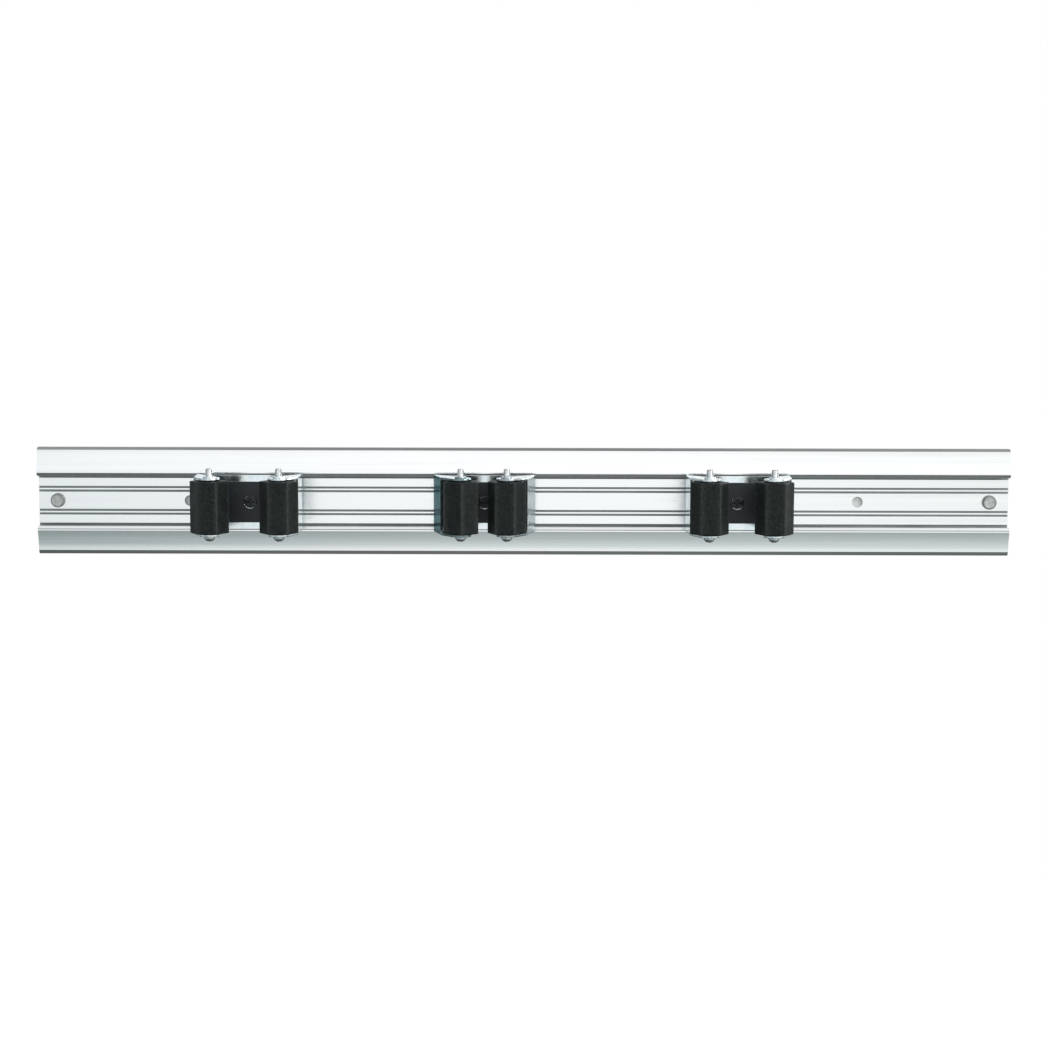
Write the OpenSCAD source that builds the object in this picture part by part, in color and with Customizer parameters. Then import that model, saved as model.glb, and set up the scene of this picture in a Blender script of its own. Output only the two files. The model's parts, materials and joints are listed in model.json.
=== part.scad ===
// Wall rack for long-handled cleaning tools: an extruded aluminium rail carries three
// sliding spring clips, and the two rubber rollers of each clip grip one handle.
// X runs along the rail, Z is up, the wall is the plane y = 0 and the front faces -Y.
// Every piece is drawn with its depth from the wall as positive y, then mirrored.

/* [Rail] */
// Length of the rail
rail_l = 500; // [440:10:1000]
// Depth from the wall to the nose of each lip
rail_d = 7.4; // [6.8:0.1:9]
// Thickness of the web that lies on the wall
web_t = 2.6; // [2:0.1:3.2]
// Depth of the channel between the web and the lips
channel_d = 3; // [2.6:0.1:3.4]
// Height of the mouth between the two lips
mouth_h = 28.6; // [25:0.1:32]
// How far each lip reaches over the channel
lip_cover = 2.4; // [1.6:0.1:3.2]
// How much each lip's inner face slants in behind its nose
lip_slant = 1.4; // [0.6:0.1:2]
// Depth of the slanted part of each lip's inner face
slant_d = 1; // [0.6:0.1:1.4]
// Thickness of the side walls of the channel
side_t = 2; // [1.4:0.1:2.6]
// Height of each flange from the mouth to the outer edge
flange_h = 13.2; // [11:0.1:18]
// Thickness of the hollow-curved flanges
flange_t = 1.8; // [1.2:0.1:2.2]
// Height of the flat front on each lip nose
nose_h = 0.9; // [0.5:0.1:1.5]
// Depth from the wall to the front of each rim
rim_d = 5.4; // [4.6:0.1:6.2]
// Thickness of the rim legs that reach back to the wall
rim_t = 1.6; // [1.2:0.1:2.4]
// Radius of the front edge of each rim
rim_r = 1.4; // [0.5:0.1:1.5]

/* [Grooves and holes in the web] */
// Depth of the grooves
groove_d = 0.8; // [0.4:0.1:1.2]
// Height of the inner grooves above and below the middle
inner_groove_z = 5; // [4.6:0.1:5.4]
// Width of the inner grooves
inner_groove_w = 1; // [0.5:0.05:1.2]
// Height of the outer grooves above and below the middle
outer_groove_z = 6.9; // [6.8:0.1:9]
// Width of the outer grooves
outer_groove_w = 0.95; // [0.5:0.05:1.2]
// Width of the edge grooves beside the lips
edge_groove_w = 1.4; // [0.8:0.1:2]
// Distance of the edge grooves from the mouth's edges
edge_groove_inset = 1.9; // [1.2:0.1:2.5]
// Diameter of the wall screw holes
wall_hole_dia = 5.5; // [4.5:0.1:6.5]
// Distance of the wall screw holes from the rail's ends
wall_hole_inset = 77.9; // [40:0.1:100]

/* [End stops] */
// Diameter of the button heads
stop_dia = 7.3; // [6:0.1:8]
// How far the heads stand out of the web
stop_h = 1.8; // [1.2:0.1:2.6]
// Diameter of the stems in the web
stop_stem_dia = 4.8; // [3.5:0.1:5.5]
// Distance of the stops from the rail's ends
stop_inset = 9.8; // [8:0.1:16]

/* [Slider] */
// Length of each slider along the rail
slider_l = 34; // [28:0.5:35]
// Corner radius of the sliders
slider_r = 3; // [1:0.1:5]
// Length of each slider's neck, which stands in the mouth and carries the clip
neck_l = 26; // [16:0.5:27]
// Running clearance of a slider in the channel and the mouth
slide_gap = 0.3; // [0.2:0.05:0.5]
// Diameter of the fixing screw
fixing_dia = 4; // [3:0.1:5]
// Diameter of the fixing screw's countersunk head
fixing_head_dia = 6.4; // [5.6:0.1:8]

/* [Spring clip] */
// Thickness of the steel strip
strip_t = 1.2; // [0.8:0.1:1.5]
// Height of the clip's back
plate_h = 28; // [24:0.1:29]
// Gap between the clip's back and the noses of the lips
lip_gap = 0.8; // [0.6:0.1:1.5]
// Distance of the roller axes in front of the clip's back
reach = 24.1; // [23.5:0.1:30]
// Inside radius of the bends at the clip's back
bend_r = 3.8; // [2.8:0.1:3.9]
// Length of the flat run from each flex line to its bend
flex_run = 1.2; // [0.8:0.1:2]
// Gap at the flex lines between the back and the arms
flex_gap = 0.3; // [0.2:0.05:0.5]
// Room between a roller and the middle of the straight wing
wing_room = 3.8; // [2:0.1:5]
// Distance from the roller axis back to the fold of the wing
fold_back = 19.4; // [17:0.1:19.5]
// Length over which the wing grows from the back's height to the ears
flare_l = 8; // [4:0.5:12]
// Room between a roller and the front end of the wing
wing_gap = 0.6; // [0.4:0.1:1.5]
// Direction of the wing's front end seen from the roller axis
wing_a = 28; // [22:1:40]
// Radius of the ears round the pivot screws
ear_r = 5.4; // [4:0.1:7]
// Gap between the roller ends and the ears
ear_gap = 0.4; // [0.3:0.1:1]
// Height of the tapped collar on each upper ear
collar_h = 0.8; // [0.5:0.1:1.5]

/* [Rollers and pivot screws] */
// Corner radius of the six-sided rollers, from axis to edge
roller_r = 9.9; // [8:0.1:12]
// Rounding of the six edges
roller_edge_r = 1.1; // [0.5:0.1:2]
// Height of the rollers
roller_h = 26.2; // [20:0.1:28]
// Gap between the rollers of a closed clip
roller_gap = 3.4; // [1:0.1:6]
// Diameter of the pivot screws
pivot_dia = 3.5; // [3:0.1:5]
// Radial clearance round the pivot screws
pivot_clear = 0.05; // [0.02:0.01:0.1]
// Length of screw that stands out above the upper ear
pivot_tip = 4.7; // [3:0.1:7]
// Diameter of the pivot screws' round heads
pivot_head_dia = 6.2; // [5.5:0.1:8]
// Height of the pivot screws' round heads
pivot_head_h = 2.8; // [1.8:0.1:3.1]

/* [Places of the three clips] */
// Distance of the left clip from the rail's left end
left_inset = 109.85; // [60:0.05:125]
// Place of the middle clip from the rail's middle
middle_x = -20; // [-30:0.1:30]
// Distance of the right clip from the rail's right end
right_inset = 140.5; // [60:0.1:160]
// Opening angle of the left clip's arms
left_open = 13.4; // [0:0.1:18]
// Opening angle of the middle clip's arms
middle_open = 0; // [0:0.1:18]
// Opening angle of the right clip's arms
right_open = 10.8; // [0:0.1:18]

/* [Hidden] */
$fn = 64;
over = 1;           // how far a cut runs past the face it opens
screw_clear = 0.05; // radial clearance of a fixed screw or stem in its hole
tip_chamfer = 0.6;  // chamfer on the free ends of screws and stems

// Rail section, as depth from the wall and height from the middle
rail_h = mouth_h + 2 * flange_h;
channel_h = mouth_h + 2 * lip_cover;
throat_h = mouth_h - 2 * lip_slant;
cove_rise = flange_h - rim_r - nose_h;
cove_drop = rail_d - rim_d;
cove_r = (cove_rise ^ 2 + cove_drop ^ 2) / (2 * cove_drop);
cove_at = [rim_d + cove_r, rail_h / 2 - rim_r];
edge_groove_z = mouth_h / 2 - edge_groove_inset;
grooves = [[inner_groove_z, inner_groove_w], [outer_groove_z, outer_groove_w],
    [edge_groove_z, edge_groove_w]];
stop_x = rail_l / 2 - stop_inset;
wall_hole_x = rail_l / 2 - wall_hole_inset;

// Slider and clip back
slider_t = channel_d - 2 * slide_gap;
slider_h = channel_h - 2 * slide_gap;
slider_back = web_t + slide_gap;
neck_h = throat_h - 2 * slide_gap;
plate_back = rail_d + lip_gap;
plate_mid = plate_back + strip_t / 2;
plate_front = plate_back + strip_t;

// Plan of the right arm of a closed clip, as x from the clip's middle and depth
pivot = [roller_r + roller_gap / 2, plate_mid + reach];
bend_mid_r = bend_r + strip_t / 2;
wing_x = pivot.x + roller_r + wing_room;
bend_at = [wing_x - bend_mid_r, plate_mid + bend_mid_r];
flex_at = [bend_at.x - flex_run, plate_mid];
fold = [wing_x, pivot.y - fold_back];
wing_end = pivot + (roller_r + wing_gap + strip_t / 2) * [cos(wing_a), -sin(wing_a)];
lean = wing_end - fold;
lean_side = [lean.y, -lean.x] / norm(lean) * strip_t / 2;
ear_back_inner = fold - [strip_t / 2, 0];
ear_back_outer = fold + [strip_t / 2, 0];
ear_front_outer = wing_end + lean_side;

// Heights of the ears and pivot screws
ear_z = roller_h / 2 + ear_gap;
ear_top = ear_z + strip_t;
pivot_hole_r = pivot_dia / 2 + pivot_clear;
collar_r = pivot_dia / 2 + strip_t;

// Name, place along the rail, opening angle, and the direction of one edge of the left and the
// right roller, as an angle from straight ahead towards +X
CLIPS = [["left", left_inset - rail_l / 2, left_open, [21, 26]],
    ["middle", middle_x, middle_open, [52, 22]],
    ["right", rail_l / 2 - right_inset, right_open, [34, 32]]];
SIDES = [["l", -1], ["r", 1]];

// Point where a line from p touches the circle of radius r round c, on the given side
function touch(p, c, r, side) =
    let (v = p - c, a = atan2(v.y, v.x) + side * acos(r / norm(v))) c + r * [cos(a), sin(a)];

// Turns depth from the wall into the frame, where the front faces -Y
module from_wall() {
    mirror([0, 1, 0]) children();
}

// A solid of revolution whose axis runs out of the wall
module out_of_wall(x) {
    translate([x, 0, 0]) rotate([-90, 0, 0]) children();
}

module groove_cut(z, w) {
    translate([web_t - groove_d, z - w / 2]) square([groove_d + over, w]);
}

// Upper half of the hollow behind one flange, open towards the wall
module flange_pocket() {
    low = channel_h / 2 + side_t;
    difference() {
        translate([-over, low]) square([rail_d + over, rail_h / 2 - rim_t - low]);
        translate(cove_at) circle(cove_r + flange_t, $fn = 256);
    }
}

module rail_section() {
    difference() {
        union() {
            translate([0, -rail_h / 2 + rim_r]) square([rail_d, rail_h - 2 * rim_r]);
            translate([0, -rail_h / 2]) square([rim_d - rim_r, rail_h]);
            for (side = [-1, 1])
                translate([rim_d - rim_r, side * (rail_h / 2 - rim_r)]) circle(rim_r);
        }
        translate([web_t, -channel_h / 2]) square([channel_d, channel_h]);
        translate([web_t, -throat_h / 2]) square([rail_d, throat_h]);
        polygon([[rail_d - slant_d, -throat_h / 2], [rail_d, -mouth_h / 2], [rail_d, mouth_h / 2],
            [rail_d - slant_d, throat_h / 2]]);
        for (side = [0, 1]) mirror([0, side]) {
            translate(cove_at) circle(cove_r, $fn = 256);
            flange_pocket();
            for (g = grooves) groove_cut(g[0], g[1]);
        }
    }
}

module rail() {
    color("gainsboro") from_wall() difference() {
        rotate([90, 0, 90]) translate([0, 0, -rail_l / 2]) linear_extrude(rail_l) rail_section();
        for (side = [-1, 1]) {
            out_of_wall(side * wall_hole_x) translate([0, 0, -over])
                cylinder(d = wall_hole_dia, h = web_t + 2 * over);
            out_of_wall(side * stop_x) translate([0, 0, -over])
                cylinder(r = stop_stem_dia / 2 + screw_clear, h = web_t + 2 * over);
        }
    }
}

// Pressed-in button that keeps the sliders on the rail
module end_stop(side) {
    head_r = stop_dia / 2;
    stem_r = stop_stem_dia / 2;
    color("darkgray") from_wall() out_of_wall(side * stop_x) rotate_extrude()
        polygon([[0, 0], [stem_r - tip_chamfer, 0], [stem_r, tip_chamfer], [stem_r, web_t],
            [head_r, web_t], [head_r, web_t + stop_h - tip_chamfer],
            [head_r - tip_chamfer, web_t + stop_h], [0, web_t + stop_h]]);
}

// Shoe that runs in the channel behind the lips
module slider(x) {
    corner = [slider_l / 2 - slider_r, slider_h / 2 - slider_r];
    color("dimgray") from_wall() out_of_wall(x) difference() {
        translate([0, 0, slider_back]) {
            linear_extrude(slider_t) {
                square([slider_l, 2 * corner.y], center = true);
                square([2 * corner.x, slider_h], center = true);
                for (i = [-1, 1], j = [-1, 1])
                    translate([i * corner.x, j * corner.y]) circle(slider_r);
            }
            linear_extrude(plate_back - slider_back) square([neck_l, neck_h], center = true);
        }
        translate([0, 0, slider_back - over])
            cylinder(r = fixing_dia / 2 + screw_clear, h = plate_back - slider_back + 2 * over);
    }
}

// Flat back of the clip, between the two flex lines
module back_plate(x) {
    w = 2 * (flex_at.x - strip_t / 2 - flex_gap);
    hole_r = fixing_dia / 2 + screw_clear;
    sink_r = fixing_head_dia / 2 + screw_clear;
    color("lightsteelblue") from_wall() out_of_wall(x) difference() {
        translate([-w / 2, -plate_h / 2, plate_back]) cube([w, plate_h, strip_t]);
        rotate_extrude()
            polygon([[0, plate_back - over], [hole_r, plate_back - over], [hole_r, plate_back],
                [sink_r, plate_front], [sink_r, plate_front + over], [0, plate_front + over]]);
    }
}

// Screw that draws the clip's back against the slider
module fixing_screw(x) {
    shank_r = fixing_dia / 2;
    head_r = fixing_head_dia / 2;
    color("silver") from_wall() out_of_wall(x) rotate_extrude()
        polygon([[0, slider_back], [shank_r - tip_chamfer, slider_back],
            [shank_r, slider_back + tip_chamfer], [shank_r, plate_back], [head_r, plate_front],
            [0, plate_front]]);
}

// Carries a piece of one side, drawn as the right arm, to its clip and opens it
module at_arm(x, side, open) {
    translate([x, 0, 0]) mirror([side < 0 ? 1 : 0, 0, 0])
        translate(flex_at) rotate(-open) translate(-flex_at) children();
}

// Plan of the bent strip: round root, flat run, bend, straight wing and leaning front
module strip_plan() {
    translate(flex_at) circle(d = strip_t);
    translate(flex_at - [0, strip_t / 2]) square([flex_run, strip_t]);
    intersection() {
        translate(bend_at) difference() {
            circle(bend_r + strip_t);
            circle(bend_r);
        }
        translate(bend_at - [0, bend_mid_r + over]) square(bend_mid_r + over);
    }
    translate([wing_x - strip_t / 2, bend_at.y]) square([strip_t, fold.y - bend_at.y]);
    translate(fold) circle(d = strip_t);
    polygon([fold - lean_side, fold + lean_side, wing_end + lean_side, wing_end - lean_side]);
}

// Plan of an ear, from the folded wing to the round nose about the pivot screw
module ear_plan() {
    polygon([ear_back_inner, ear_back_outer, ear_front_outer,
        touch(ear_front_outer, pivot, ear_r, 1), pivot, touch(ear_back_inner, pivot, ear_r, -1)]);
    translate(pivot) circle(ear_r);
}

// Side view of the wing, which grows taller from the bend to the ears
module wing_side() {
    for (side = [0, 1]) mirror([0, side])
        polygon([[0, 0], [0, plate_h / 2], [bend_at.y, plate_h / 2], [bend_at.y + flare_l, ear_top],
            [pivot.y, ear_top], [pivot.y, 0]]);
}

module arm(x, side, open) {
    span = pivot.x + 2 * roller_r;
    color("lightsteelblue") from_wall() at_arm(x, side, open) difference() {
        union() {
            intersection() {
                translate([0, 0, -ear_top]) linear_extrude(2 * ear_top) strip_plan();
                rotate([90, 0, 90]) linear_extrude(2 * span) wing_side();
            }
            translate([0, 0, ear_z]) linear_extrude(strip_t) ear_plan();
            translate([0, 0, -ear_top]) linear_extrude(strip_t) ear_plan();
            translate([pivot.x, pivot.y, ear_z]) cylinder(r = collar_r, h = strip_t + collar_h);
        }
        translate([pivot.x, pivot.y, -ear_top - over])
            cylinder(r = pivot_hole_r, h = 2 * (ear_top + over) + collar_h);
    }
}

// Six-sided roller with rounded edges, free to turn on its pivot screw
module roller(x, side, open, turn) {
    edge_at = roller_r - roller_edge_r;
    color("#262a2b") from_wall() at_arm(x, side, open) translate([pivot.x, pivot.y, 0])
        rotate(90 - side * turn + open) difference() {
            translate([0, 0, -roller_h / 2]) linear_extrude(roller_h) {
                polygon([for (i = [0 : 5], d = [-30, 30]) edge_at * [cos(60 * i), sin(60 * i)]
                    + roller_edge_r * [cos(60 * i + d), sin(60 * i + d)]]);
                for (i = [0 : 5]) rotate(60 * i) translate([edge_at, 0]) circle(roller_edge_r);
            }
            translate([0, 0, -roller_h / 2 - over])
                cylinder(r = pivot_hole_r, h = roller_h + 2 * over);
        }
}

// Screw from below: round head under the lower ear, tip standing out above the upper ear
module pivot_screw(x, side, open) {
    shank_r = pivot_dia / 2;
    head_r = pivot_head_dia / 2;
    dome_r = (head_r ^ 2 + pivot_head_h ^ 2) / (2 * pivot_head_h);
    root_z = -ear_top - pivot_head_h / 2; // the shank is rooted in the middle of the head
    tip_z = ear_top + pivot_tip;
    color("silver") from_wall() at_arm(x, side, open) translate([pivot.x, pivot.y, 0]) {
        rotate_extrude()
            polygon([[0, root_z], [shank_r, root_z], [shank_r, tip_z - tip_chamfer],
                [shank_r - tip_chamfer, tip_z], [0, tip_z]]);
        intersection() {
            translate([0, 0, -ear_top - pivot_head_h + dome_r]) sphere(dome_r);
            translate([0, 0, -ear_top - pivot_head_h]) cylinder(r = head_r + over, h = pivot_head_h);
        }
    }
}

rail();
end_stop(-1);  // end_stop_left
end_stop(1);  // end_stop_right
for (c = CLIPS) {
    slider(c[1]);
    back_plate(c[1]);
    fixing_screw(c[1]);
    for (i = [0, 1]) {
        name = SIDES[i][0];
        side = SIDES[i][1];
        arm(c[1], side, c[2]);
        roller(c[1], side, c[2], c[3][i]);
        pivot_screw(c[1], side, c[2]);
    }
}
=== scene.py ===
"""Looks of a wall rack for cleaning tools: a drawn aluminium rail with three sliding spring clips.

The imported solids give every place. This script dresses them with finer meshes and materials.
Sizes are written in millimetres and turned into metres by MM. X runs along the rail, Z is up,
and the front faces -Y.
"""
import json
from math import acos, atan2, cos, pi, radians, sin, sqrt, tan, tau

import bmesh
import bpy
from mathutils import Matrix, Vector


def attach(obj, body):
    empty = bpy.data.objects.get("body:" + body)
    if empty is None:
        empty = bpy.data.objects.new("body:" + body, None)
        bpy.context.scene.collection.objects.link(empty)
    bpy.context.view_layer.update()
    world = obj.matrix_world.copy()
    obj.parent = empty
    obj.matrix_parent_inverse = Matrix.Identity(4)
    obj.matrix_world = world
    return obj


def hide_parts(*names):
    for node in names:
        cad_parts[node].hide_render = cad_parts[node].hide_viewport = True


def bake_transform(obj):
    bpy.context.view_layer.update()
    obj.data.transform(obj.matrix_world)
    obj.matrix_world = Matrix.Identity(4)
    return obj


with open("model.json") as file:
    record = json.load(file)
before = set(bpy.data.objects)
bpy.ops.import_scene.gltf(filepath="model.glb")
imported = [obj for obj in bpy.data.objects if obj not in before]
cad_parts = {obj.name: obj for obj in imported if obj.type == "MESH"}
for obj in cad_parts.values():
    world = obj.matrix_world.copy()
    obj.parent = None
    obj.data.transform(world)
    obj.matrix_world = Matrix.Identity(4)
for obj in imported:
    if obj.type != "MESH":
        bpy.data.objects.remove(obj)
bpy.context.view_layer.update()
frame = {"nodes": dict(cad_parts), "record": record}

MM = 0.001
SIDES = ("l", "r")


# Camera

IMAGE = 1048                 # pixels along each side of the photograph
PX_PER_MM = 1.938            # scale of the photograph at the web of the rail
CAM_DISTANCE = 1.1           # metres from the camera to the web
CAM_ELEVATION = 6.5          # degrees above the rail
CAM_ROLL = 0.14              # degrees
WEB_MIDDLE = Vector((0, -2.6 * MM, 0))
WEB_MIDDLE_PX = (523.6, 501.3)    # where the photograph shows that point
SENSOR = 36                  # millimetres


def make_camera():
    """The photograph's camera: in front of the middle of the rail and a little above it."""
    e = radians(CAM_ELEVATION)
    right, up, back = Vector((1, 0, 0)), Vector((0, sin(e), cos(e))), Vector((0, -cos(e), sin(e)))
    px = MM / PX_PER_MM
    aim = (WEB_MIDDLE + px * (IMAGE / 2 - WEB_MIDDLE_PX[0]) * right
           + px * (WEB_MIDDLE_PX[1] - IMAGE / 2) * up)
    data = bpy.data.cameras.new("camera")
    data.sensor_width = SENSOR
    data.lens = SENSOR * CAM_DISTANCE / (IMAGE * px)
    data.clip_start, data.clip_end = 0.01, 50
    camera = bpy.data.objects.new("camera", data)
    turn = Matrix((right, up, back)).transposed() @ Matrix.Rotation(radians(CAM_ROLL), 3, "Z")
    camera.matrix_world = Matrix.Translation(aim + CAM_DISTANCE * back) @ turn.to_4x4()
    bpy.context.scene.collection.objects.link(camera)
    bpy.context.scene.camera = camera


# Node trees

def node(tree, kind, inputs=None, **settings):
    """Adds a shader node. An input is a value, or a socket to link from."""
    n = tree.nodes.new("ShaderNode" + kind)
    for name, value in settings.items():
        setattr(n, name, value)
    for key, value in (inputs or {}).items():
        if isinstance(value, bpy.types.NodeSocket):
            tree.links.new(value, n.inputs[key])
        else:
            n.inputs[key].default_value = value
    return n


def ramp(tree, fac, stops):
    """A colour ramp through (position, colour or grey) stops."""
    n = node(tree, "ValToRGB", {"Fac": fac})
    while len(n.color_ramp.elements) < len(stops):
        n.color_ramp.elements.new(0.5)
    for element, (position, colour) in zip(n.color_ramp.elements, stops):
        element.position = position
        element.color = (*colour, 1) if isinstance(colour, tuple) else (colour, colour, colour, 1)
    return n.outputs["Color"]


def noise(tree, scale, detail=3.0, rough=0.55, distortion=0.0):
    """Noise in the part's own metres; scale is cycles per metre along each axis."""
    where = node(tree, "TexCoord").outputs["Object"]
    stretched = node(tree, "Mapping", {"Vector": where, "Scale": scale}).outputs["Vector"]
    return node(tree, "TexNoise", {"Vector": stretched, "Scale": 1.0, "Detail": detail, "Roughness": rough,
                                   "Distortion": distortion}).outputs["Fac"]


def span(tree, value, low, high):
    """Spreads a value of about 0.3 to 0.7 over low to high."""
    return node(tree, "MapRange", {"Value": value, "From Min": 0.3, "From Max": 0.7,
                                   "To Min": low, "To Max": high}).outputs["Result"]


def mix(tree, fac, a, b):
    return node(tree, "Mix", {0: fac, 6: a, 7: b}, data_type="RGBA").outputs[2]


def material(name, **sockets):
    """A Principled material with constant sockets, ready for the linked ones."""
    mat = bpy.data.materials.new(name)
    mat.use_nodes = True
    tree = mat.node_tree
    bsdf = tree.nodes["Principled BSDF"]
    for key, value in sockets.items():
        bsdf.inputs[key.replace("_", " ")].default_value = value
    return mat, tree, bsdf


def link(tree, bsdf, **sockets):
    for key, value in sockets.items():
        tree.links.new(value, bsdf.inputs[key.replace("_", " ")])


def bump(tree, height, distance, strength=1.0):
    inputs = {"Height": height, "Distance": distance, "Strength": strength}
    return node(tree, "Bump", inputs).outputs["Normal"]


# Materials

# painted highlight: the rollers are lighter where this point attribute is 1, on their edges
EDGE_SHEEN = "edge_sheen"                # point attribute of the rollers, 1 on their edges


def rail_aluminium():
    """Drawn aluminium with fine lines and streaks along the rail."""
    mat, tree, bsdf = material("rail_aluminium", Metallic=1.0)
    lines = noise(tree, (3, 900, 1400), 4)
    streaks = noise(tree, (6, 260, 420), 4)
    clouds = noise(tree, (22, 30, 30), 3)
    colour = mix(tree, span(tree, streaks, 0, 1), (0.86, 0.875, 0.88, 1), (0.985, 0.99, 0.99, 1))
    colour = mix(tree, span(tree, clouds, 0, 0.3), colour, (0.90, 0.93, 0.95, 1))
    link(tree, bsdf, Base_Color=colour, Roughness=span(tree, streaks, 0.19, 0.29),
         Normal=bump(tree, lines, 0.00001, 0.5))
    return mat


def groove_painted_shade():
    """Darker aluminium in the grooves, the channel, under the upper lip and in the lip's fine line: painted
    shade.
    """
    mat, tree, bsdf = material("groove_painted_shade", Metallic=1.0)
    # a dark mottled grey in place of the shade in recesses: painted shade
    shade_mottle = noise(tree, (40, 200, 400), 4)
    colour = mix(tree, span(tree, shade_mottle, 0, 1), (0.22, 0.245, 0.245, 1), (0.33, 0.36, 0.36, 1))
    link(tree, bsdf, Base_Color=colour, Roughness=span(tree, shade_mottle, 0.45, 0.6))
    return mat


def sawn_aluminium():
    """The rail's cut ends, with the fine marks of the saw."""
    mat, tree, bsdf = material("sawn_aluminium", Metallic=1.0)
    marks = noise(tree, (200, 300, 4000), 3)
    colour = mix(tree, span(tree, marks, 0, 1), (0.60, 0.61, 0.61, 1), (0.80, 0.81, 0.81, 1))
    link(tree, bsdf, Base_Color=colour, Roughness=span(tree, marks, 0.38, 0.5),
         Normal=bump(tree, marks, 0.00003, 0.5))
    return mat


def clip_steel(name, dark, light, rough, edge=(1, 1, 1, 1)):
    """Bright zinc plate, bluish and mottled, with a yellowish bloom in places; edge tints grazing light."""
    mat, tree, bsdf = material(name, Metallic=1.0, Specular_Tint=edge)
    mottle = noise(tree, (260, 260, 260), 4, 0.6, 0.4)
    patches = noise(tree, (70, 70, 70), 2)
    grain = noise(tree, (2500, 2500, 900), 3)
    colour = mix(tree, span(tree, mottle, 0, 1), dark, light)
    colour = mix(tree, span(tree, patches, 0, 0.2), colour, (0.60, 0.60, 0.53, 1))
    link(tree, bsdf, Base_Color=colour, Roughness=span(tree, mottle, rough - 0.06, rough + 0.06),
         Normal=bump(tree, grain, 0.00001, 0.4))
    return mat


def screw_steel(name="screw_steel", dark=(0.78, 0.8, 0.81, 1), light=(0.96, 0.97, 0.97, 1), rough=0.16):
    mat, tree, bsdf = material(name, Metallic=1.0)
    mottle = noise(tree, (600, 600, 600), 3)
    link(tree, bsdf, Base_Color=mix(tree, span(tree, mottle, 0, 1), dark, light),
         Roughness=span(tree, mottle, rough - 0.06, rough + 0.08))
    return mat


def roller_rubber():
    """Black rubber, mottled and finely streaked along the roller, with a painted highlight in grey along its
    edges.
    """
    mat, tree, bsdf = material("roller_rubber", Specular_IOR_Level=0.17)
    streaks = noise(tree, (900, 900, 40), 4)
    grain = noise(tree, (3000, 3000, 3000), 2)
    bloom = noise(tree, (260, 260, 150), 4)
    mottle = noise(tree, (800, 800, 600), 3, 0.65)
    colour = mix(tree, span(tree, bloom, 0, 1), (0.003, 0.005, 0.0048, 1), (0.011, 0.015, 0.0144, 1))
    colour = mix(tree, span(tree, streaks, -0.5, 0.5), colour, (0.015, 0.02, 0.0192, 1))
    colour = mix(tree, span(tree, mottle, -0.6, 0.9), colour, (0.022, 0.028, 0.0265, 1))
    # grey along the rounded edges: painted highlight
    edge = node(tree, "Attribute", attribute_name=EDGE_SHEEN).outputs["Fac"]
    sheen = node(tree, "Math", {0: edge, 1: span(tree, mottle, 0.3, 0.8)}, operation="MULTIPLY").outputs[0]
    colour = mix(tree, sheen, colour, (0.058, 0.066, 0.063, 1))
    height = node(tree, "Math", {0: streaks, 1: grain}, operation="ADD").outputs[0]
    link(tree, bsdf, Base_Color=colour, Roughness=span(tree, bloom, 0.42, 0.6),
         Normal=bump(tree, height, 0.00003, 0.6))
    return mat


def plastic(name, dark, light, rough):
    """Moulded plastic, or smooth rubber, with a fine grain and clouded between two tones."""
    mat, tree, bsdf = material(name)
    grain = noise(tree, (2200, 2200, 2200), 3)
    cloud = noise(tree, (600, 600, 600), 3)
    link(tree, bsdf, Base_Color=mix(tree, span(tree, cloud, 0, 1), dark, light),
         Roughness=span(tree, cloud, rough - 0.06, rough + 0.06), Normal=bump(tree, grain, 0.00002, 0.5))
    return mat


MATERIALS = {
    "rail_aluminium": rail_aluminium(),
    "clip_steel": clip_steel("clip_steel", (0.28, 0.335, 0.365, 1), (0.48, 0.535, 0.565, 1), 0.24),
    # a darker copy of the zinc for the middle clip's left wing: painted shade
    "clip_steel_shaded": clip_steel("clip_steel_shaded", (0.145, 0.205, 0.22, 1), (0.27, 0.35, 0.365, 1), 0.24,
                                  (0.4, 0.53, 0.55, 1)),
    # a lighter copy of the zinc for the ears and most wings: painted light
    "clip_steel_lit": clip_steel("clip_steel_lit", (0.5, 0.6, 0.65, 1), (0.9, 0.95, 0.97, 1), 0.16),
    # a lighter copy of the zinc for the clip's back: painted light
    "plate_steel_lit": clip_steel("plate_steel_lit", (0.62, 0.74, 0.79, 1), (0.92, 0.97, 0.99, 1), 0.18),
    # a near-black sheet behind the rollers: painted shade
    "shade_sheet_rubber": plastic("shade_sheet_rubber", (0.006, 0.009, 0.011, 1), (0.014, 0.019, 0.023, 1), 0.45),
    "screw_steel": screw_steel(),
    "screw_black": screw_steel("screw_black", (0.03, 0.034, 0.036, 1), (0.07, 0.075, 0.078, 1), 0.4),
    "roller_rubber": roller_rubber(),
    "slider_plastic": plastic("slider_plastic", (0.06, 0.06, 0.065, 1), (0.11, 0.11, 0.12, 1), 0.5),
    "stop_plastic": plastic("stop_plastic", (0.33, 0.36, 0.35, 1), (0.56, 0.59, 0.575, 1), 0.42),
    # a darker copy of the button's plastic for its rim: painted shade
    "stop_rim_shade": plastic("stop_rim_shade", (0.17, 0.19, 0.18, 1), (0.27, 0.3, 0.285, 1), 0.42),
    # a grey for the caps in the wall holes, in place of the shaded wall behind them: painted shade
    "hole_shade_plastic": plastic("hole_shade_plastic", (0.52, 0.55, 0.54, 1), (0.72, 0.75, 0.74, 1), 0.45),
}


# Studio

FLOOR_Z, FLOOR_R, FLOOR_GLOW = -0.5, 1.0, 0.75    # the glow keeps the floor white to the camera
STUDIO_GAIN, AMBIENT = 1.12, 0.5                  # strengths of what metal shows and of the even light


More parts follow.
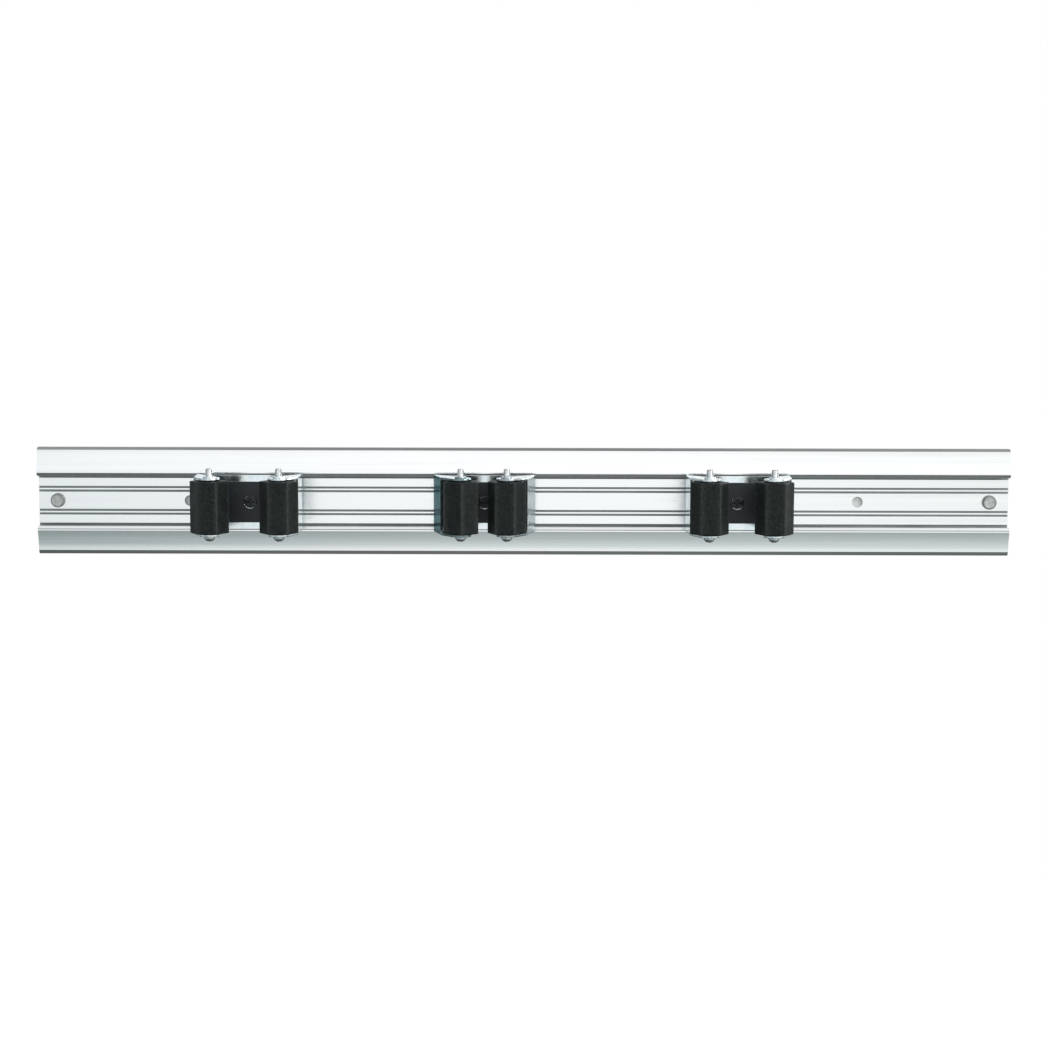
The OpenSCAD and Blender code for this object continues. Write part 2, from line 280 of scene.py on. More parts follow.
def make_world():
    """White to the camera. What metal shows is a studio: pale ahead, dark above, below and behind."""
    world = bpy.data.worlds.new("studio")
    bpy.context.scene.world = world
    world.use_nodes = True
    tree = world.node_tree
    tree.nodes.clear()
    way = node(tree, "SeparateXYZ", {0: node(tree, "TexCoord").outputs["Generated"]})

    def along(axis, stops):
        part = node(tree, "MapRange", {"Value": way.outputs[axis], "From Min": -1.0, "From Max": 1.0})
        return ramp(tree, part.outputs["Result"], stops)

    def times(a, b):
        return node(tree, "Mix", {0: 1.0, 6: a, 7: b}, data_type="RGBA", blend_type="MULTIPLY").outputs[2]

    # From the floor to the ceiling, then from left to right above and below the horizon, then to the wall
    level = along("Z", [(0.0, (0.13, 0.135, 0.135)), (0.08, (0.16, 0.17, 0.17)), (0.14, (0.4, 0.44, 0.44)),
                        (0.27, (0.46, 0.5, 0.5)), (0.36, (0.68, 0.72, 0.72)), (0.43, 1.0), (0.94, 1.0),
                        (0.975, 0.42), (1.0, 0.26)])
    above = along("X", [(0.1, (0.5, 0.54, 0.55)), (0.34, (0.72, 0.77, 0.79)), (0.45, 1.0), (0.56, 1.0),
                        (0.61, (0.8, 0.83, 0.82)), (0.7, (0.86, 0.89, 0.88)), (0.85, 1.0)])
    below = along("X", [(0.1, (0.62, 0.66, 0.67)), (0.38, (0.5, 0.55, 0.56)), (0.455, 1.0), (0.55, 1.0),
                        (0.6, (0.83, 0.88, 0.86)), (0.7, 1.0)])
    side = mix(tree, along("Z", [(0.4, 1.0), (0.45, 0.0)]), above, below)
    depth = along("Y", [(0.5, 1.0), (0.62, 0.3)])
    studio = times(times(level, side), depth)
    path = node(tree, "LightPath")
    clear = node(tree, "Math", {0: path.outputs["Is Camera Ray"], 1: path.outputs["Is Transmission Ray"]},
                 operation="MAXIMUM").outputs[0]
    seen = node(tree, "Math", {0: clear, 1: path.outputs["Is Glossy Ray"]}, operation="MAXIMUM").outputs[0]
    gain = node(tree, "MapRange", {"Value": clear, "To Min": STUDIO_GAIN, "To Max": 1.0}).outputs["Result"]
    shown = node(tree, "Background", {"Color": mix(tree, clear, studio, (1, 1, 1, 1)), "Strength": gain})
    ambient = node(tree, "Background", {"Color": (1, 1, 1, 1), "Strength": AMBIENT})
    both = node(tree, "MixShader", {0: seen, 1: ambient.outputs[0], 2: shown.outputs[0]})
    node(tree, "OutputWorld", {"Surface": both.outputs[0]})


def make_floor():
    """A grey card that throws light up, and is white to the camera."""
    mat = bpy.data.materials.new("floor")
    mat.use_nodes = True
    tree = mat.node_tree
    tree.nodes.clear()
    path = node(tree, "LightPath")
    seen = node(tree, "Math", {0: path.outputs["Is Camera Ray"], 1: path.outputs["Is Transmission Ray"]},
                operation="MAXIMUM").outputs[0]
    card = node(tree, "BsdfDiffuse", {"Color": (0.55, 0.56, 0.56, 1)}).outputs[0]
    strength = node(tree, "Math", {0: seen, 1: FLOOR_GLOW}, operation="MULTIPLY").outputs[0]
    glow = node(tree, "Emission", {"Color": (1, 1, 1, 1), "Strength": strength}).outputs[0]
    both = node(tree, "AddShader", {0: card, 1: glow}).outputs[0]
    node(tree, "OutputMaterial", {"Surface": both})
    bm = bmesh.new()
    bmesh.ops.create_circle(bm, cap_ends=True, radius=FLOOR_R, segments=96)
    mesh = bpy.data.meshes.new("floor")
    bm.to_mesh(mesh)
    bm.free()
    mesh.materials.append(mat)
    floor = bpy.data.objects.new("floor", mesh)
    floor.location.z = FLOOR_Z
    bpy.context.scene.collection.objects.link(floor)
    floor.visible_glossy = False      # the world's lower half is the floor that metal shows


def make_lamp(name, at, size, power, glint=False):
    """A square lamp that looks at the middle of the rail."""
    data = bpy.data.lights.new(name, "AREA")
    data.shape, data.size, data.energy = "SQUARE", size, power
    lamp = bpy.data.objects.new(name, data)
    lamp.location = at
    lamp.rotation_euler = (-Vector(at)).to_track_quat("-Z", "Y").to_euler()
    lamp.visible_glossy = glint       # without it metal shows the world alone
    bpy.context.scene.collection.objects.link(lamp)


make_camera()
make_world()
make_floor()
make_lamp("key", at=(1.4, -1.0, 0.85), size=0.7, power=20, glint=True)
make_lamp("fill", at=(-0.9, -1.2, 0.4), size=0.7, power=3)
bpy.context.scene.view_settings.view_transform = "Standard"


# Mesh helpers

def steps(a, b, n):
    """Values from a to b in n even steps, both ends included."""
    return [a + (b - a) * i / n for i in range(n + 1)]


def out_of_wall(x):
    """Places a solid made about local Z, in millimetres, so that Z points out of the wall at x."""
    return Matrix.Scale(MM, 4) @ Matrix.Translation((x, 0, 0)) @ Matrix.Rotation(pi / 2, 4, "X")


def fillet(points, radius, parts=3):
    """Rounds the corners of a closed outline. A point is (u, v), or (u, v, its own radius)."""
    straight, share = 0.05, 0.45       # bends to leave alone, and the most of an edge that a corner takes
    out = []
    for i, point in enumerate(points):
        p = Vector(point[:2])
        r = point[2] if len(point) > 2 else radius
        a, b = Vector(points[i - 1][:2]) - p, Vector(points[(i + 1) % len(points)][:2]) - p
        turn = a.angle(b)
        if r <= 0 or pi - turn < straight:
            out.append(p)
            continue
        d = min(r / tan(turn / 2), share * a.length, share * b.length)
        start, end = p + a.normalized() * d, p + b.normalized() * d
        for t in steps(0, 1, parts):
            out.append((1 - t) ** 2 * start + 2 * t * (1 - t) * p + t ** 2 * end)
    return out


def skin(bm, rings):
    """Joins rings of points, all of one length, by quads. Returns the rows of vertices."""
    rows = [[bm.verts.new(p) for p in ring] for ring in rings]
    n = len(rows[0])
    for a, b in zip(rows, rows[1:]):
        for i in range(n):
            bm.faces.new((a[i], a[(i + 1) % n], b[(i + 1) % n], b[i]))
    return rows


def loft(bm, rings):
    """A closed solid through rings of points, capped at both ends."""
    rows = skin(bm, rings)
    for row in (rows[0], rows[-1]):
        bm.faces.new(row)


def lathe(bm, profile, segments, place=Matrix()):
    """Turns (radius, height) points about the local Z axis, and places the solid."""
    loft(bm, [[place @ Vector((r * cos(tau * i / segments), r * sin(tau * i / segments), h))
               for i in range(segments)] for r, h in profile])


def as_object(bm, name):
    """Turns a closed bmesh into an object whose faces all look outwards."""
    bmesh.ops.recalc_face_normals(bm, faces=bm.faces)
    if bm.calc_volume(signed=True) < 0:
        bmesh.ops.reverse_faces(bm, faces=bm.faces)
    mesh = bpy.data.meshes.new(name)
    bm.to_mesh(mesh)
    bm.free()
    obj = bpy.data.objects.new(name, mesh)
    bpy.context.scene.collection.objects.link(obj)
    return obj


def cut(bm, tool, operation="DIFFERENCE"):
    """Cuts one closed bmesh out of another, or joins the two, and returns the result."""
    body, cutter = as_object(bm, "cut"), as_object(tool, "cutter")
    modifier = body.modifiers.new("cut", "BOOLEAN")
    modifier.object, modifier.operation, modifier.solver = cutter, operation, "EXACT"
    result = bmesh.new()
    result.from_object(body, bpy.context.evaluated_depsgraph_get())
    for obj in (body, cutter):
        mesh = obj.data
        bpy.data.objects.remove(obj)
        bpy.data.meshes.remove(mesh)
    return result


def add_piece(name, bm, body, slot, stands_for=None, sharp=40, materials=None):
    """Turns a bmesh in metres into a piece that rides on a body and may stand for a node."""
    obj = as_object(bm, name)
    obj.data.shade_smooth()
    obj.data.set_sharp_from_angle(angle=radians(sharp))
    obj.modifiers.new("flat_faces", "WEIGHTED_NORMAL").keep_sharp = True
    for mat in materials or [MATERIALS[slot]]:
        obj.data.materials.append(mat)
    if body:
        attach(obj, body)
    if stands_for:
        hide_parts(stands_for)
    return obj


# Rail

LENGTH = 500
WEB_T, LIP_BACK, SLANT_D, RIM_D = 2.6, 5.6, 6.4, 5.4     # depths from the wall
THROAT_Z, MOUTH_Z, NOSE_Z, CHANNEL_Z = 12.9, 14.3, 15.2, 16.7   # heights from the middle
POCKET_Z, RIM_BACK_Z, COVE_Z, RAIL_Z = 18.7, 25.9, 26.1, 27.5
UPPER_RIM, LOWER_RIM = 1.2, 2.0                          # heights of the bevelled rim edges
NICK = ((7.342, 14.219), (7.15, 14.40), (7.4, 14.53))    # fine drawn line along each lip, depth and height
RIM_R, COVE_R, FLANGE_T = 1.4, 30.702, 1.8
GROOVE_D = 0.8
GROOVES = ((5.0, 1.0), (6.9, 0.95), (12.4, 1.4))         # height and width of each groove
WALL_HOLE_X, WALL_HOLE_R = 172.1, 2.75
STOP_X, STOP_R, STOP_STEM_R, STOP_H = 240.2, 3.65, 2.4, 1.8
EDGE = 0.12                                              # rounding of drawn and cut edges
# the second slot is a darker aluminium: painted shade
DRAWN, PAINTED_SHADE, SAWN = range(3)                       # material slots of the rail


def cove(z, r):
    """Depth of the hollow flange at a height, for its front or its back surface."""
    return RIM_D + COVE_R - sqrt(r * r - (COVE_Z - z) ** 2)


def half_outline(rim):
    """Upper half of the section, depth and height; rim is the height of the bevel on its rim."""
    groove_r, channel_r, lip_r, rim_r = 0.25, 0.3, 0.2, 0.3       # roundings larger than EDGE
    half = []
    for z, w in GROOVES:
        half += [(WEB_T, z - w / 2), (WEB_T - GROOVE_D, z - w / 2, groove_r),
                 (WEB_T - GROOVE_D, z + w / 2, groove_r), (WEB_T, z + w / 2)]
    half += [(WEB_T, CHANNEL_Z, channel_r), (LIP_BACK, CHANNEL_Z, lip_r), (LIP_BACK, THROAT_Z),
             (SLANT_D, THROAT_Z)]
    half += [(*p, 0) for p in NICK]
    half += [(cove(z, COVE_R), z) for z in steps(NOSE_Z, RAIL_Z - rim, 28)]
    half += [(RIM_D - RIM_R, RAIL_Z, rim_r), (0, RAIL_Z), (0, RIM_BACK_Z)]
    half += [(cove(z, COVE_R + FLANGE_T), z) for z in steps(RIM_BACK_Z, POCKET_Z, 16)]
    return half + [(0, POCKET_Z)]


def rail_outline():
    lower = [(p[0], -p[1], *p[2:]) for p in half_outline(LOWER_RIM)]
    return fillet(half_outline(UPPER_RIM) + lower[::-1], EDGE)


def in_hole(p):
    """Whether a point inside the web lies in a wall hole or a stop's hole."""
    reach = WALL_HOLE_R + 0.1
    return abs(p.z) < reach and min(abs(abs(p.x) - x) for x in (WALL_HOLE_X, STOP_X)) < reach


def rail_finish(face):
    """The rail's material slot for a face: drawn, painted shade or sawn."""
    middle = face.calc_center_median() / MM
    depth, height = -middle.y, abs(middle.z)
    hair, near, off = 0.02, 0.05, 0.1      # how near a surface counts
    if abs(face.normal.x) > 0.9:
        return SAWN
    in_groove = WEB_T - GROOVE_D - off < depth < WEB_T - off and height < MOUTH_Z and not in_hole(middle)
    in_channel = WEB_T + near < depth < LIP_BACK + hair and THROAT_Z < height < CHANNEL_Z + near
    under_lip = abs(depth - WEB_T) < near and GROOVES[-1][0] < middle.z < CHANNEL_Z
    in_nick = NICK[1][0] < depth < NICK[0][0] and NICK[0][1] < height < NICK[2][1]
    # grooves, the channel, the web under the upper lip and the lip's fine line take the darker slot: painted
    # shade
    return PAINTED_SHADE if in_groove or in_channel or under_lip or in_nick else DRAWN


def make_rail():
    """The section drawn out to the rail's length, with the holes through its web."""
    outline = rail_outline()
    bm = bmesh.new()
    loft(bm, [[(x * MM, -s * MM, z * MM) for s, z in outline] for x in (-LENGTH / 2, LENGTH / 2)])
    for side in (-1, 1):
        for x, r in ((WALL_HOLE_X, WALL_HOLE_R), (STOP_X, STOP_STEM_R)):
            tool = bmesh.new()
            lathe(tool, [(r, -1), (r, WEB_T + 1)], 48, out_of_wall(side * x))
            bm = cut(bm, tool)
    for face in bm.faces:
        face.material_index = rail_finish(face)
    add_piece("rail_section", bm, "rail", "rail_aluminium", "rail", sharp=20,
              materials=[MATERIALS["rail_aluminium"], groove_painted_shade(), sawn_aluminium()])


def make_stop(name, side):
    """A button whose stem sits in the web: chamfered stem, rounded rim and a face sunk inside it."""
    stem, face, foot = STOP_STEM_R - 0.05, WEB_T + STOP_H, WEB_T + 0.02
    rim_w, sunk = 0.9, 0.2
    profile = [(stem - 0.45, 0.05), (stem, 0.5), (stem, foot), (STOP_R - 0.1, foot), (STOP_R, foot + 0.13),
               (STOP_R, face - 0.7), (STOP_R - 0.12, face - 0.3), (STOP_R - 0.45, face - 0.05),
               (STOP_R - 0.7, face), (STOP_R - 0.85, face - 0.02), (STOP_R - 1.0, face - 0.16),
               (STOP_R - 1.2, face - sunk), (0.4, face - sunk)]
    bm = bmesh.new()
    lathe(bm, profile, 64, out_of_wall(side * STOP_X))
    # the rounded rim and the outer ring of the face take the darker plastic: painted shade
    for f in bm.faces:
        middle = f.calc_center_median() / MM - Vector((side * STOP_X, 0, 0))
        f.material_index = int(Vector((middle.x, middle.z)).length > STOP_R - rim_w)
    add_piece(name + "_button", bm, "rail", "stop_plastic", name,
              materials=[MATERIALS["stop_plastic"], MATERIALS["stop_rim_shade"]])


def make_cap(name, side):
    """A dished grey cap pushed into a wall screw hole; it stands for the shaded wall seen through the hole:
    painted shade.
    """
    r, rim, dish = WALL_HOLE_R - 0.03, 2.1, 1.55       # heights of its rim and of the middle of the dish
    profile = [(r - 0.5, 0.1), (r, 0.5), (r, rim - 0.25), (r - 0.12, rim - 0.05), (r - 0.35, rim),
               (r - 0.6, rim - 0.15), (r - 0.8, rim - 0.4), (0.3, dish)]
    bm = bmesh.new()
    lathe(bm, profile, 48, out_of_wall(side * WALL_HOLE_X))
    add_piece(name, bm, "rail", "stop_plastic", materials=[MATERIALS["hole_shade_plastic"]])


# Clips

# Place along the rail, how far the arms are open, and how far the left and right rollers are turned (degrees)
CLIPS = {"left": (-140.15, 13.4, (29, 33)), "middle": (-20.0, 0.0, (5, 24)), "right": (109.5, 10.8, (30, 28))}
PLATE_MID, FLEX_X = 8.8, 19.7                            # the flex line of the right arm, closed
PIVOT = (11.6, 32.9)                                     # the right pivot of a closed clip, x and depth
WING_X, BEND_R, FOLD_Y, WING_END = 25.3, 4.4, 13.5, (21.4, 27.69)    # middle line of the right arm's strip
STRIP_T, PLATE_H = 1.2, 28
EAR_Z, EAR_TOP, EAR_R = 13.5, 14.7, 5.4                  # lower face, top and round nose of the upper ear
COLLAR_R, COLLAR_TOP = 2.95, 15.5
CUT_R, CUT_MID = 0.2, 0.06                               # rounding of cut edges, and the offset half way
# the middle clip's left wing takes the darker copy of the zinc, painted shade; wings not listed take the
# lighter copy, painted light
WING_STEEL = {"middle_arm_l": "clip_steel_shaded", "middle_arm_r": "clip_steel"}    # other wings are brighter
ROLLER_R, ROLLER_EDGE_R, ROLLER_H = 9.75, 1.1, 26.2
CREASES, CREASE_D, CREASE_W = (1.6, 0.2), 0.1, 0.7       # heights and size of two creases round one roller
BORE_R, SHANK_R, TIP_Z, HEAD_R, HEAD_H = 1.8, 1.75, 19.4, 3.1, 2.8   # pivot
PLATE_BACK, PLATE_FRONT, PLATE_EDGE = 8.2, 9.4, 0.16     # clip's back: depths, and the rounding of its edges
FIX_BACK, FIX_R, FIX_HEAD_R = 2.9, 2.0, 3.2              # fixing screw


def arm_place(clip, side):
    """Places a solid made in the plan of a closed right arm: x, depth and height in millimetres."""
    x, opening, _ = CLIPS[clip]
    flex = Matrix.Translation((FLEX_X, PLATE_MID, 0))
    mirror = Matrix.Scale(-1, 4, (1, 0, 0)) if side == "l" else Matrix()
    spread = flex @ Matrix.Rotation(-radians(opening), 4, "Z") @ flex.inverted()
    to_front = Matrix.Scale(MM, 4) @ Matrix.Scale(-1, 4, (0, 1, 0))
    return to_front @ Matrix.Translation((x, 0, 0)) @ mirror @ spread


def roller_section(turn):
    """Six-sided section with rounded edges and slightly hollow faces, one edge at the given angle.

    Returns its points, and how much painted highlight each takes.
    """
    hollow, points, edge_sheen = 0.14, [], []
    # the painted highlight: its share beside a rounded edge, and the share of a face over which it fades
    flank, fade = 0.4, 0.2           # wear beside a rounded edge, and the share of a face over which it fades
    edge_at = ROLLER_R - ROLLER_EDGE_R
    for i in range(6):
        a = turn + i * pi / 3
        for d in steps(-pi / 6, pi / 6, 6):
            points.append(Vector((edge_at * cos(a) + ROLLER_EDGE_R * cos(a + d),
                                  edge_at * sin(a) + ROLLER_EDGE_R * sin(a + d))))
            edge_sheen.append(flank + (1 - flank) * cos(3 * d))
        b = a + pi / 6
        start, way = points[-1], edge_at * Vector((cos(a + pi / 3) - cos(a), sin(a + pi / 3) - sin(a)))
        for u in steps(0, 1, 12)[1:-1]:
            points.append(start + u * way - hollow * sin(pi * u) * Vector((cos(b), sin(b))))
            edge_sheen.append(flank * max(0, 1 - min(u, 1 - u) / fade))
    return points, edge_sheen


def make_roller(clip, side):
    """A rubber roller as one closed tube: its outside from the top down, then back up through the bore."""
    turn = CLIPS[clip][2][SIDES.index(side)]
    sign = 1 if side == "r" else -1
    section, edge_sheen = roller_section(radians(90 - sign * turn + CLIPS[clip][1]))
    top, rounding, countersink = ROLLER_H / 2, 0.55, 0.3
    levels = [(top - rounding + rounding * sin(a), rounding * (1 - cos(a))) for a in steps(0, pi / 2, 5)]
    creases = CREASES if (clip, side) == ("right", "r") else ()
    creases = [(z + d, CREASE_D * (d == 0)) for z in creases for d in (CREASE_W / 2, 0, -CREASE_W / 2)]
    levels = levels[::-1] + creases + [(-z, pull) for z, pull in levels]
    rings = [[Vector((*(p * (1 - pull / ROLLER_R)), z)) for p in section] for z, pull in levels]
    bore = [Vector((*(p.normalized() * BORE_R), 0)) for p in section]
    mouth = [Vector((*(p.normalized() * (BORE_R + countersink)), 0)) for p in section]
    lift = Vector((0, 0, 1))
    deep = (top - countersink) * lift
    rings = [[p + deep for p in bore], [p + top * lift for p in mouth], *rings,
             [p - top * lift for p in mouth], [p - deep for p in bore]]
    rings.append(rings[0])
    place = arm_place(clip, side) @ Matrix.Translation((*PIVOT, 0))
    bm = bmesh.new()
    layer = bm.verts.layers.float.new(EDGE_SHEEN)
    for row in skin(bm, [[place @ p for p in ring] for ring in rings])[2:-3]:
        for vert, sheen in zip(row, edge_sheen):
            vert[layer] = sheen
    bmesh.ops.remove_doubles(bm, verts=bm.verts, dist=1e-7)
    name = f"{clip}_roller_{side}"
    add_piece(name + "_rubber", bm, name, "roller_rubber", name, sharp=28)


def cross_recess(width, reach, top, depth):
    """Tool for a cross recess, tapered towards its bottom, in millimetres about local Z."""
    tool = bmesh.new()
    w, above, flare, narrow = width / 2, 0.4, 1.15, 0.55    # flare above the top, narrow at the bottom
    plan = [(reach, -w), (reach, w), (w, w), (w, reach), (-w, reach), (-w, w), (-reach, w), (-reach, -w),
            (-w, -w), (-w, -reach), (w, -reach), (w, -w)]
    loft(tool, [[Vector((x * k, y * k, z)) for x, y in plan]
                for k, z in ((flare, top + above), (1, top), (narrow, top - depth))])
    return tool


def make_pivot_screw(clip, side):
    """A screw from below: domed head with a cross recess, plain shank, and a thread up to its tip."""
    pitch, thread, thread_from = 0.6, 0.2, 13.6
    tip_l, tip_slope, sink = 0.5, 0.8, 0.35
    dome_from, dome_to, segments = 0.06, 1.49, 32     # angles on the dome, from its middle to its rim
    rings = []
    dome_r = (HEAD_R ** 2 + HEAD_H ** 2) / (2 * HEAD_H)
    bottom, seat = -EAR_TOP - HEAD_H, -EAR_TOP - 0.02
    for a in steps(dome_from, dome_to, 14):
        rings.append([(dome_r * sin(a), bottom + dome_r * (1 - cos(a)))] * segments)
    rings += [[(r, z)] * segments for r, z in ((HEAD_R - 0.05, seat - 0.1), (HEAD_R - 0.2, seat),
                                               (SHANK_R, seat), (SHANK_R, thread_from))]
    for z in steps(thread_from, TIP_Z, round((TIP_Z - thread_from) / pitch * 8))[1:]:
        taper = max(0, z - TIP_Z + tip_l) * tip_slope
        rings.append([(SHANK_R - taper - thread * abs(2 * ((z / pitch - i / segments) % 1) - 1), z)
                      for i in range(segments)])
    rings = [[Vector((r * cos(tau * i / segments), r * sin(tau * i / segments), z))
              for i, (r, z) in enumerate(ring)] for ring in rings]
    bm = bmesh.new()
    loft(bm, rings)
    tool = cross_recess(width=0.8, reach=1.6, top=0, depth=1.1)
    turn = Matrix.Rotation(radians(17), 4, "Z")    # no corner of the recess falls on a corner of the dome
    tool.transform(Matrix.Translation((0, 0, bottom + sink)) @ Matrix.Rotation(pi, 4, "X") @ turn)
    bm = cut(bm, tool)
    bm.transform(arm_place(clip, side) @ Matrix.Translation((*PIVOT, 0)))
    node_name = f"{clip}_pivot_screw_{side}"
    add_piece(node_name + "_steel", bm, f"{clip}_arm_{side}", "screw_steel", node_name, sharp=45)


def make_fixing_screw(clip):
    """A countersunk screw, a hair below the face of the clip's back."""
    shank, head, face = FIX_R - 0.05, FIX_HEAD_R - 0.1, PLATE_FRONT - 0.02
    profile = [(shank - 0.45, FIX_BACK + 0.02), (shank, FIX_BACK + 0.5), (shank, PLATE_BACK),
               (head, face - 0.12), (head, face - 0.06), (head - 0.1, face), (0.3, face)]
    bm = bmesh.new()
    lathe(bm, profile, 48)
    bm = cut(bm, cross_recess(width=0.9, reach=1.8, top=PLATE_FRONT, depth=0.9))
    bm.transform(out_of_wall(CLIPS[clip][0]))
    name = clip + "_fixing_screw"
    add_piece(name + "_steel", bm, clip + "_holder", "screw_steel", name,
              materials=[MATERIALS["screw_black"]])


def inset(points, amounts):
    """Moves each edge of an outline that runs counterclockwise inwards by its own amount."""
    straight = 0.02
    out = []
    for i, p in enumerate(points):
        a, b = (p - points[i - 1]).normalized(), (points[(i + 1) % len(points)] - p).normalized()
        a, b = Vector((-a.y, a.x)), Vector((-b.y, b.x))
        d, e = amounts[i - 1], amounts[i]
        turn = a.x * b.y - a.y * b.x
        if abs(turn) < straight:
            out.append(p + (d * a + e * b) / 2)
        else:
            out.append(p + Vector((d * b.y - e * a.y, e * a.x - d * b.x)) / turn)
    return out


def ear_rings():
    """The upper ear, from its lower face up: cut edges all round but for the rounded fold of the wing."""
    pivot, back, front = Vector(PIVOT), Vector((WING_X, FOLD_Y)), Vector(WING_END)
    lean = (front - back).normalized()
    half = Vector((STRIP_T / 2, 0))
    corners = [back - half, back + half, front + STRIP_T / 2 * Vector((lean.y, -lean.x))]

    def touch(p, side):
        way = p - pivot
        return atan2(way.y, way.x) + side * acos(EAR_R / way.length)
    a, b = touch(corners[2], 1), touch(corners[0], -1) + tau
    plan = corners + [pivot + EAR_R * Vector((cos(t), sin(t))) for t in steps(a, b, 28)]
    fold = 0.75
    levels = [(EAR_Z, CUT_R, CUT_R), (EAR_Z + CUT_MID, CUT_MID, CUT_MID), (EAR_Z + CUT_R, 0, 0)]
    levels += [(EAR_TOP - fold * (1 - sin(t)), CUT_R * (1 - cos(t)), fold * (1 - cos(t)))
               for t in steps(0, pi / 2, 6)]
    return [[Vector((*p, z)) for p in inset(plan, [edge, bent] + [edge] * (len(plan) - 2))]
            for z, edge, bent in levels]


def wing_rings():
    """The strip from its root through the bend and along the wing, a ring across it at each step."""
    bend, half = Vector((WING_X - BEND_R, PLATE_MID + BEND_R)), STRIP_T / 2
    root = ((-0.55, 0.35), (-0.42, 0.7), (-0.2, 0.94), (0, 1))    # rounded: place and share of the thickness
    path = [(Vector((FLEX_X + u, PLATE_MID)), Vector((1, 0)), k * half) for u, k in root]
    path += [(bend + BEND_R * Vector((sin(t), -cos(t))), Vector((cos(t), sin(t))), half)
             for t in steps(0, pi / 2, 12)]
    back, front = Vector((WING_X, FOLD_Y)), Vector(WING_END)
    lean = (front - back).normalized()
    path += [(back, (Vector((0, 1)) + lean).normalized(), half), (front, lean, half)]
    rings, round_off, below_fold, mid = [], 0.24, 0.9, 0.3    # mid: the offset half way round an edge
    for p, way, thin in path:
        side = Vector((way.y, -way.x))
        tall = PLATE_H / 2 if p.y < FOLD_Y else EAR_TOP - below_fold
        r = min(round_off, 0.6 * thin)
        half_ring = [(thin, 0), (thin, tall - r), (thin - mid * r, tall - mid * r), (thin - r, tall),
                     (r - thin, tall), (mid * r - thin, tall - mid * r), (-thin, tall - r), (-thin, 0)]
        ring = half_ring + [(u, -z) for u, z in half_ring[-2:0:-1]]
        rings.append([Vector((*(p + u * side), z)) for u, z in ring])
    return rings


def make_arm(clip, side):
    """One wing with its two ears, a collar on the upper ear and the pivot's hole through both."""
    bm = bmesh.new()
    loft(bm, wing_rings())
    flip = Matrix.Scale(-1, 4, (0, 0, 1))
    for turn in (Matrix(), flip):
        ear = bmesh.new()
        loft(ear, [[turn @ p for p in ring] for ring in ear_rings()])
        bm = cut(bm, ear, "UNION")
    axis = Matrix.Translation((*PIVOT, 0))
    collar, hole = bmesh.new(), bmesh.new()
    root, beyond, segments = 0.3, 1, 40
    lathe(collar, [(COLLAR_R, EAR_Z + root), (COLLAR_R, COLLAR_TOP - CUT_R),
                   (COLLAR_R - CUT_MID, COLLAR_TOP - CUT_MID), (COLLAR_R - CUT_R, COLLAR_TOP)],
          segments, axis)
    lathe(hole, [(BORE_R, -EAR_TOP - beyond), (BORE_R, COLLAR_TOP + beyond)], segments, axis)
    bm = cut(cut(bm, collar, "UNION"), hole)
    bm.transform(arm_place(clip, side))
    bm.normal_update()
    for face in bm.faces:
        # faces that look up or down take the lighter copy of the zinc: painted light
        face.material_index = int(abs(face.normal.z) > 0.7)    # the ears look up and down
    name = f"{clip}_arm_{side}"
    wing = WING_STEEL.get(name, "clip_steel_lit")
    add_piece(name + "_strip", bm, name, "clip_steel", name, sharp=30,
              materials=[MATERIALS[wing], MATERIALS["clip_steel_lit"]])


def make_shade_sheet(clip):
    """A thin black rubber sheet on the clip's back, with a hole round the fixing screw; it stands for the
    shade and dark reflection between the rollers: painted shade.
    """
    wide, tall, thick, corner_r, hole = 12.5, 10.5, 0.7, 2.0, FIX_HEAD_R + 0.1    # half width and half height
    corners = [(wide, tall), (-wide, tall), (-wide, -tall), (wide, -tall)]
    rings = []
    for pull, depth in ((0, 0), (0, thick - 0.25), (0.08, thick - 0.08), (0.25, thick)):
        outline = fillet([(x - pull * x / wide, z - pull * z / tall) for x, z in corners], corner_r, 6)
        rings.append([Vector((p.x, p.y, PLATE_FRONT + depth)) for p in outline])
    bm, tool = bmesh.new(), bmesh.new()
    loft(bm, rings)
    face = PLATE_FRONT + thick
    lathe(tool, [(hole, PLATE_FRONT - 1), (hole, face - 0.3), (hole + 0.5, face + 0.2)], 48)
    bm = cut(bm, tool)
    bm.transform(out_of_wall(CLIPS[clip][0]))
    add_piece(clip + "_shade_sheet", bm, clip + "_holder", "roller_rubber", materials=[MATERIALS["shade_sheet_rubber"]])


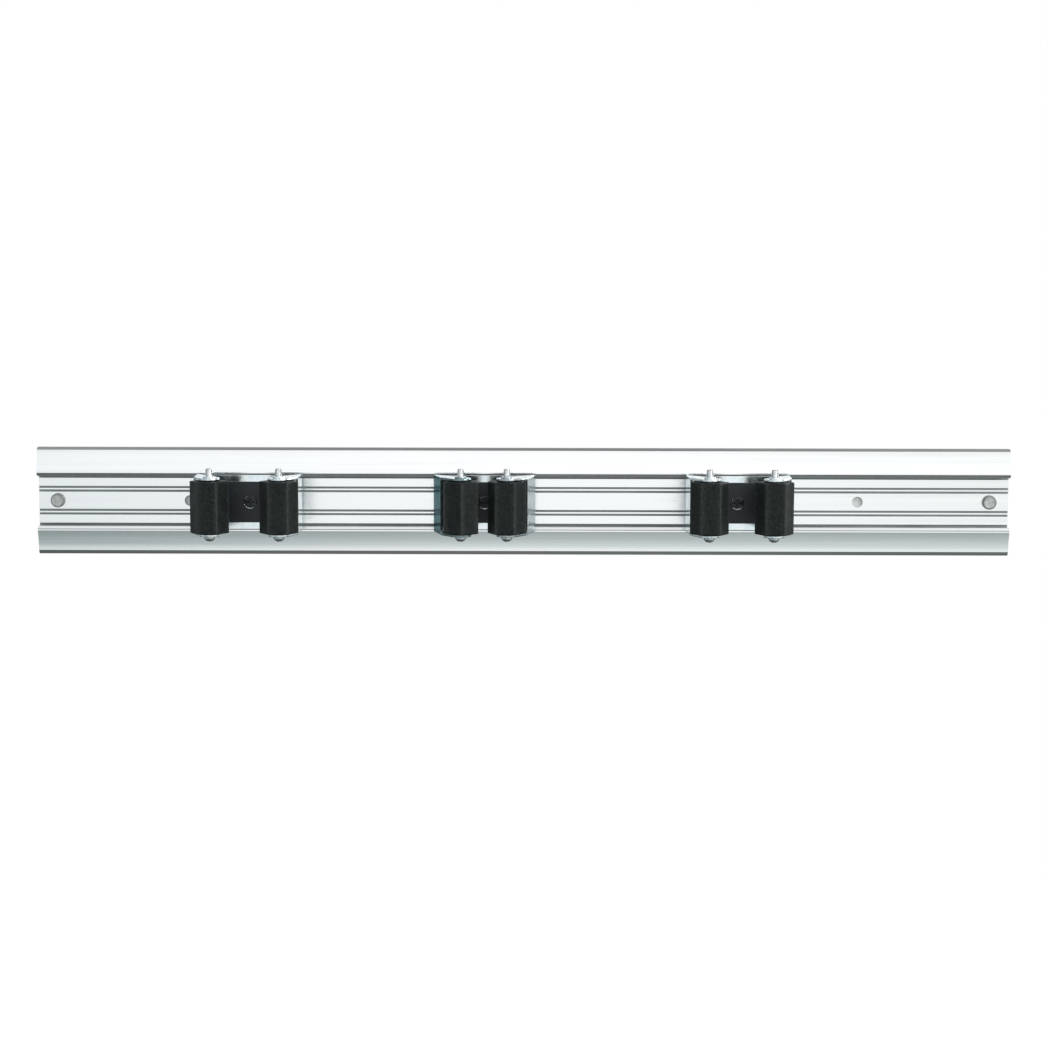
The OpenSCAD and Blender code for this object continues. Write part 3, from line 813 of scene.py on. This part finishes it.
def make_plate(clip):
    """The clip's back: the node's own solid with its cut edges rounded."""
    name = clip + "_back_plate"
    bm = bmesh.new()
    bm.from_mesh(frame["nodes"][name].data)
    weld, flat, sharp = 1e-6, radians(0.5), radians(35)
    bmesh.ops.remove_doubles(bm, verts=bm.verts, dist=weld)
    bmesh.ops.dissolve_limit(bm, angle_limit=flat, verts=bm.verts, edges=bm.edges)
    bmesh.ops.recalc_face_normals(bm, faces=bm.faces)
    edges = [e for e in bm.edges if e.is_manifold and e.calc_face_angle(0) > sharp]
    bmesh.ops.bevel(bm, geom=edges, offset=PLATE_EDGE * MM, segments=2, profile=0.5, affect="EDGES",
                    clamp_overlap=True)
    # the clip's back takes the lighter copy of the zinc: painted light
    add_piece(name + "_strip", bm, clip + "_holder", "clip_steel", name, sharp=30,
              materials=[MATERIALS["plate_steel_lit"]])


def make_flex(clip, side):
    """The spring strip itself where it flexes, between the clip's back and an arm."""
    x, opening, _ = CLIPS[clip]
    sign = -1 if side == "l" else 1
    half, thin, tall = 0.8, 0.56, 13.85        # half of the bend's length, of the thickness and of the height
    into_back, into_arm = -1.7, 1.0            # where the strip ends inside the clip's back and the arm
    rings = []
    for u in steps(into_back, into_arm, 18):
        t = min(max((u + half) / (2 * half), 0), 1)
        turn = Matrix.Rotation(-radians(opening) * t * t * (3 - 2 * t), 2)
        ring = [turn @ Vector((u, d)) for d in (-thin, thin)]
        ring = [(ring[0], tall), (ring[0], -tall), (ring[1], -tall), (ring[1], tall)]
        rings.append([(MM * (x + sign * (FLEX_X + p.x)), -MM * (PLATE_MID + p.y), MM * z) for p, z in ring])
    bm = bmesh.new()
    loft(bm, rings)
    piece = add_piece(f"{clip}_flex_{side}", bm, None, "clip_steel")
    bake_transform(piece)


def make_clip(clip):
    for side in SIDES:
        make_arm(clip, side)
        make_flex(clip, side)
        make_roller(clip, side)
        make_pivot_screw(clip, side)
    make_plate(clip)
    make_fixing_screw(clip)
    make_shade_sheet(clip)


# Pieces

# The solids take their slot's material; of them only the sliders stay in view
SLOT_OF = {s["node"]: s["material_slot"] for s in frame["record"]["subparts"]}
for name, obj in frame["nodes"].items():
    obj.data.materials.clear()
    obj.data.materials.append(MATERIALS[SLOT_OF[name]])
make_rail()
make_stop("end_stop_left", -1)
make_stop("end_stop_right", 1)
make_cap("wall_hole_cap_left", -1)
make_cap("wall_hole_cap_right", 1)
for clip in CLIPS:
    make_clip(clip)
